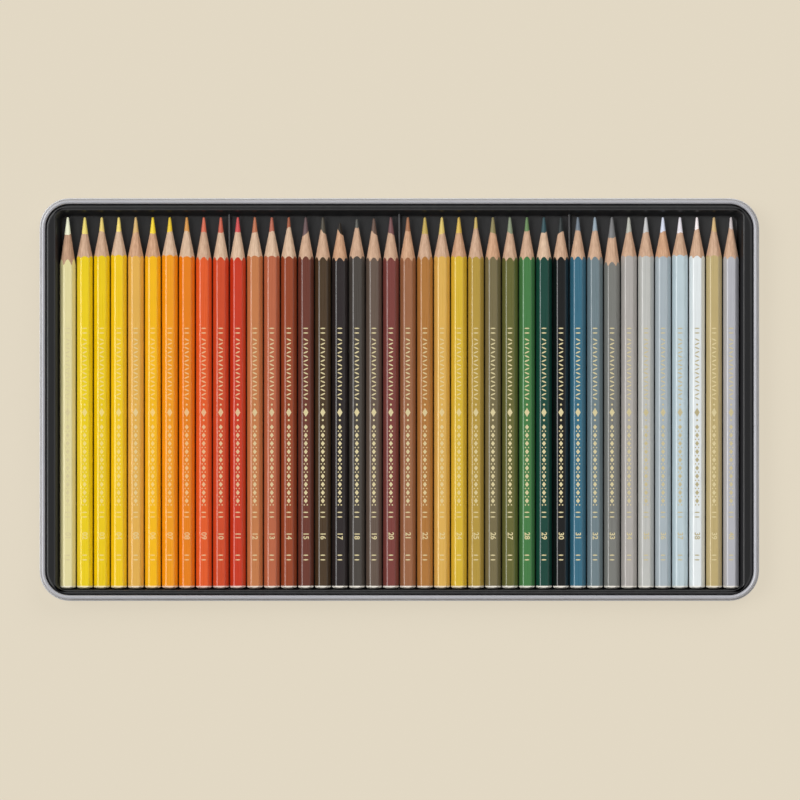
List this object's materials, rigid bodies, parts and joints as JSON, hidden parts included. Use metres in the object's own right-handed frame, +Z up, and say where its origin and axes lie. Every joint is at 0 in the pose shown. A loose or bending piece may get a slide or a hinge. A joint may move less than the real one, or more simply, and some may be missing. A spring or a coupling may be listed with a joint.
{
  "type": "watercolour pencil set",
  "caption": "Flat tin with a black formed tray that holds a row of hexagonal watercolour pencils, points one way; the slip lid is pushed under the tin.",
  "frame": {"origin": "on the surface that the set stands on, under the middle of the tin", "axes": "+X along the row of pencils, from the yellows to the greys; +Y from the butts to the points; +Z up"},
  "size_m": [0.3428, 0.1918, 0.012],
  "materials": {
    "tinplate": "satin",
    "tray_plastic": "satin",
    "lacquer_01": "gloss lacquer, ivory",
    "lacquer_02": "gloss lacquer, lemon",
    "lacquer_03": "gloss lacquer, canary",
    "lacquer_04": "gloss lacquer, yellow",
    "lacquer_05": "gloss lacquer, pale ochre",
    "lacquer_06": "gloss lacquer, golden yellow",
    "lacquer_07": "gloss lacquer, light orange",
    "lacquer_08": "gloss lacquer, orange",
    "lacquer_09": "gloss lacquer, flame",
    "lacquer_10": "gloss lacquer, vermilion",
    "lacquer_11": "gloss lacquer, scarlet",
    "lacquer_12": "gloss lacquer, apricot",
    "lacquer_13": "gloss lacquer, terracotta",
    "lacquer_14": "gloss lacquer, russet",
    "lacquer_15": "gloss lacquer, mahogany",
    "lacquer_16": "gloss lacquer, umber",
    "lacquer_17": "gloss lacquer, charcoal",
    "lacquer_18": "gloss lacquer, slate",
    "lacquer_19": "gloss lacquer, taupe",
    "lacquer_20": "gloss lacquer, maroon",
    "lacquer_21": "gloss lacquer, cinnamon",
    "lacquer_22": "gloss lacquer, caramel",
    "lacquer_23": "gloss lacquer, sand",
    "lacquer_24": "gloss lacquer, mustard",
    "lacquer_25": "gloss lacquer, olive yellow",
    "lacquer_26": "gloss lacquer, khaki",
    "lacquer_27": "gloss lacquer, moss",
    "lacquer_28": "gloss lacquer, green",
    "lacquer_29": "gloss lacquer, pine",
    "lacquer_30": "gloss lacquer, black",
    "lacquer_31": "gloss lacquer, blue",
    "lacquer_32": "gloss lacquer, steel blue",
    "lacquer_33": "gloss lacquer, grey",
    "lacquer_34": "gloss lacquer, warm grey",
    "lacquer_35": "gloss lacquer, light grey",
    "lacquer_36": "gloss lacquer, blue grey",
    "lacquer_37": "gloss lacquer, ice blue",
    "lacquer_38": "gloss lacquer, white",
    "lacquer_39": "gloss lacquer, gold",
    "lacquer_40": "gloss lacquer, silver"
  },
  "bodies": {
    "lid": {"lid": "tinplate"},
    "base": {"base_tin": "tinplate"},
    "tray": {"tray": "tray_plastic"},
    "pencil_01": {"pencil_01": "lacquer_01"},
    "pencil_02": {"pencil_02": "lacquer_02"},
    "pencil_03": {"pencil_03": "lacquer_03"},
    "pencil_04": {"pencil_04": "lacquer_04"},
    "pencil_05": {"pencil_05": "lacquer_05"},
    "pencil_06": {"pencil_06": "lacquer_06"},
    "pencil_07": {"pencil_07": "lacquer_07"},
    "pencil_08": {"pencil_08": "lacquer_08"},
    "pencil_09": {"pencil_09": "lacquer_09"},
    "pencil_10": {"pencil_10": "lacquer_10"},
    "pencil_11": {"pencil_11": "lacquer_11"},
    "pencil_12": {"pencil_12": "lacquer_12"},
    "pencil_13": {"pencil_13": "lacquer_13"},
    "pencil_14": {"pencil_14": "lacquer_14"},
    "pencil_15": {"pencil_15": "lacquer_15"},
    "pencil_16": {"pencil_16": "lacquer_16"},
    "pencil_17": {"pencil_17": "lacquer_17"},
    "pencil_18": {"pencil_18": "lacquer_18"},
    "pencil_19": {"pencil_19": "lacquer_19"},
    "pencil_20": {"pencil_20": "lacquer_20"},
    "pencil_21": {"pencil_21": "lacquer_21"},
    "pencil_22": {"pencil_22": "lacquer_22"},
    "pencil_23": {"pencil_23": "lacquer_23"},
    "pencil_24": {"pencil_24": "lacquer_24"},
    "pencil_25": {"pencil_25": "lacquer_25"},
    "pencil_26": {"pencil_26": "lacquer_26"},
    "pencil_27": {"pencil_27": "lacquer_27"},
    "pencil_28": {"pencil_28": "lacquer_28"},
    "pencil_29": {"pencil_29": "lacquer_29"},
    "pencil_30": {"pencil_30": "lacquer_30"},
    "pencil_31": {"pencil_31": "lacquer_31"},
    "pencil_32": {"pencil_32": "lacquer_32"},
    "pencil_33": {"pencil_33": "lacquer_33"},
    "pencil_34": {"pencil_34": "lacquer_34"},
    "pencil_35": {"pencil_35": "lacquer_35"},
    "pencil_36": {"pencil_36": "lacquer_36"},
    "pencil_37": {"pencil_37": "lacquer_37"},
    "pencil_38": {"pencil_38": "lacquer_38"},
    "pencil_39": {"pencil_39": "lacquer_39"},
    "pencil_40": {"pencil_40": "lacquer_40"}
  },
  "joints": [
    {"name": "base_lift", "type": "slide", "parent": "lid", "child": "base", "axis": [0, 0, 1], "range_m": [0, 0.02]},
    {"name": "tray_lift", "type": "slide", "parent": "base", "child": "tray", "axis": [0, 0, 1], "range_m": [0, 0.025]},
    {"name": "pencil_01_lift", "type": "slide", "parent": "tray", "child": "pencil_01", "axis": [0, 0, 1], "range_m": [0, 0.025]},
    {"name": "pencil_02_lift", "type": "slide", "parent": "tray", "child": "pencil_02", "axis": [0, 0, 1], "range_m": [0, 0.025]},
    {"name": "pencil_03_lift", "type": "slide", "parent": "tray", "child": "pencil_03", "axis": [0, 0, 1], "range_m": [0, 0.025]},
    {"name": "pencil_04_lift", "type": "slide", "parent": "tray", "child": "pencil_04", "axis": [0, 0, 1], "range_m": [0, 0.025]},
    {"name": "pencil_05_lift", "type": "slide", "parent": "tray", "child": "pencil_05", "axis": [0, 0, 1], "range_m": [0, 0.025]},
    {"name": "pencil_06_lift", "type": "slide", "parent": "tray", "child": "pencil_06", "axis": [0, 0, 1], "range_m": [0, 0.025]},
    {"name": "pencil_07_lift", "type": "slide", "parent": "tray", "child": "pencil_07", "axis": [0, 0, 1], "range_m": [0, 0.025]},
    {"name": "pencil_08_lift", "type": "slide", "parent": "tray", "child": "pencil_08", "axis": [0, 0, 1], "range_m": [0, 0.025]},
    {"name": "pencil_09_lift", "type": "slide", "parent": "tray", "child": "pencil_09", "axis": [0, 0, 1], "range_m": [0, 0.025]},
    {"name": "pencil_10_lift", "type": "slide", "parent": "tray", "child": "pencil_10", "axis": [0, 0, 1], "range_m": [0, 0.025]},
    {"name": "pencil_11_lift", "type": "slide", "parent": "tray", "child": "pencil_11", "axis": [0, 0, 1], "range_m": [0, 0.025]},
    {"name": "pencil_12_lift", "type": "slide", "parent": "tray", "child": "pencil_12", "axis": [0, 0, 1], "range_m": [0, 0.025]},
    {"name": "pencil_13_lift", "type": "slide", "parent": "tray", "child": "pencil_13", "axis": [0, 0, 1], "range_m": [0, 0.025]},
    {"name": "pencil_14_lift", "type": "slide", "parent": "tray", "child": "pencil_14", "axis": [0, 0, 1], "range_m": [0, 0.025]},
    {"name": "pencil_15_lift", "type": "slide", "parent": "tray", "child": "pencil_15", "axis": [0, 0, 1], "range_m": [0, 0.025]},
    {"name": "pencil_16_lift", "type": "slide", "parent": "tray", "child": "pencil_16", "axis": [0, 0, 1], "range_m": [0, 0.025]},
    {"name": "pencil_17_lift", "type": "slide", "parent": "tray", "child": "pencil_17", "axis": [0, 0, 1], "range_m": [0, 0.025]},
    {"name": "pencil_18_lift", "type": "slide", "parent": "tray", "child": "pencil_18", "axis": [0, 0, 1], "range_m": [0, 0.025]},
    {"name": "pencil_19_lift", "type": "slide", "parent": "tray", "child": "pencil_19", "axis": [0, 0, 1], "range_m": [0, 0.025]},
    {"name": "pencil_20_lift", "type": "slide", "parent": "tray", "child": "pencil_20", "axis": [0, 0, 1], "range_m": [0, 0.025]},
    {"name": "pencil_21_lift", "type": "slide", "parent": "tray", "child": "pencil_21", "axis": [0, 0, 1], "range_m": [0, 0.025]},
    {"name": "pencil_22_lift", "type": "slide", "parent": "tray", "child": "pencil_22", "axis": [0, 0, 1], "range_m": [0, 0.025]},
    {"name": "pencil_23_lift", "type": "slide", "parent": "tray", "child": "pencil_23", "axis": [0, 0, 1], "range_m": [0, 0.025]},
    {"name": "pencil_24_lift", "type": "slide", "parent": "tray", "child": "pencil_24", "axis": [0, 0, 1], "range_m": [0, 0.025]},
    {"name": "pencil_25_lift", "type": "slide", "parent": "tray", "child": "pencil_25", "axis": [0, 0, 1], "range_m": [0, 0.025]},
    {"name": "pencil_26_lift", "type": "slide", "parent": "tray", "child": "pencil_26", "axis": [0, 0, 1], "range_m": [0, 0.025]},
    {"name": "pencil_27_lift", "type": "slide", "parent": "tray", "child": "pencil_27", "axis": [0, 0, 1], "range_m": [0, 0.025]},
    {"name": "pencil_28_lift", "type": "slide", "parent": "tray", "child": "pencil_28", "axis": [0, 0, 1], "range_m": [0, 0.025]},
    {"name": "pencil_29_lift", "type": "slide", "parent": "tray", "child": "pencil_29", "axis": [0, 0, 1], "range_m": [0, 0.025]},
    {"name": "pencil_30_lift", "type": "slide", "parent": "tray", "child": "pencil_30", "axis": [0, 0, 1], "range_m": [0, 0.025]},
    {"name": "pencil_31_lift", "type": "slide", "parent": "tray", "child": "pencil_31", "axis": [0, 0, 1], "range_m": [0, 0.025]},
    {"name": "pencil_32_lift", "type": "slide", "parent": "tray", "child": "pencil_32", "axis": [0, 0, 1], "range_m": [0, 0.025]},
    {"name": "pencil_33_lift", "type": "slide", "parent": "tray", "child": "pencil_33", "axis": [0, 0, 1], "range_m": [0, 0.025]},
    {"name": "pencil_34_lift", "type": "slide", "parent": "tray", "child": "pencil_34", "axis": [0, 0, 1], "range_m": [0, 0.025]},
    {"name": "pencil_35_lift", "type": "slide", "parent": "tray", "child": "pencil_35", "axis": [0, 0, 1], "range_m": [0, 0.025]},
    {"name": "pencil_36_lift", "type": "slide", "parent": "tray", "child": "pencil_36", "axis": [0, 0, 1], "range_m": [0, 0.025]},
    {"name": "pencil_37_lift", "type": "slide", "parent": "tray", "child": "pencil_37", "axis": [0, 0, 1], "range_m": [0, 0.025]},
    {"name": "pencil_38_lift", "type": "slide", "parent": "tray", "child": "pencil_38", "axis": [0, 0, 1], "range_m": [0, 0.025]},
    {"name": "pencil_39_lift", "type": "slide", "parent": "tray", "child": "pencil_39", "axis": [0, 0, 1], "range_m": [0, 0.025]},
    {"name": "pencil_40_lift", "type": "slide", "parent": "tray", "child": "pencil_40", "axis": [0, 0, 1], "range_m": [0, 0.025]}
  ]
}
